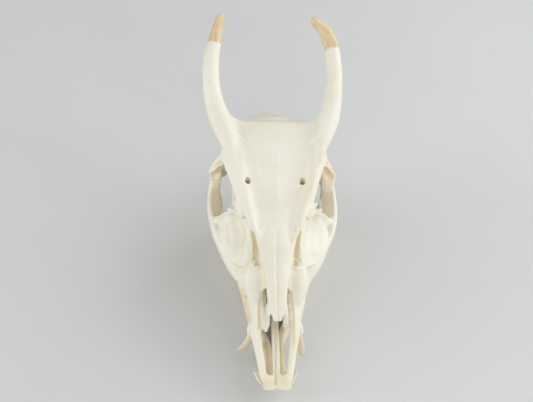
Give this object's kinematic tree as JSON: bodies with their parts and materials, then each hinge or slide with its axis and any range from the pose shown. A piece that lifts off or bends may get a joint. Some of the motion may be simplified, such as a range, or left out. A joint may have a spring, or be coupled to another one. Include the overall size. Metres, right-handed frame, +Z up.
{
  "type": "muntjac skull with lower jaw",
  "caption": "Life-size cleaned skull of a young muntjac buck with its lower jaw, bony antler stalks, simple spike antlers and upper tusks, resting on the jaw.",
  "frame": {"origin": "on the floor under the middle of the bounding box", "axes": "+X is the animal's left, +Y runs from the nose back to the antlers, +Z is up"},
  "size_m": [0.0758, 0.1794, 0.116],
  "materials": {
    "bone": "dry cleaned bone, satin",
    "face_bone": "dry cleaned bone, paler, satin",
    "jaw_bone": "dry cleaned bone, cream, satin",
    "antler": "weathered antler, matt brown",
    "tusk_ivory": "tooth, smooth tan"
  },
  "bodies": {
    "root": {"braincase": "bone", "frontal": "bone", "pedicle_left": "bone", "pedicle_right": "bone", "antler_left": "antler", "antler_right": "antler", "lacrimal_left": "face_bone", "lacrimal_right": "face_bone", "zygomatic_left": "face_bone", "zygomatic_right": "face_bone", "nasal_left": "face_bone", "nasal_right": "face_bone", "maxilla_left": "face_bone", "maxilla_right": "face_bone", "premaxilla_left": "face_bone", "premaxilla_right": "face_bone", "tusk_left": "tusk_ivory", "tusk_right": "tusk_ivory", "mandible_left": "jaw_bone", "mandible_right": "jaw_bone"}
  },
  "joints": []
}
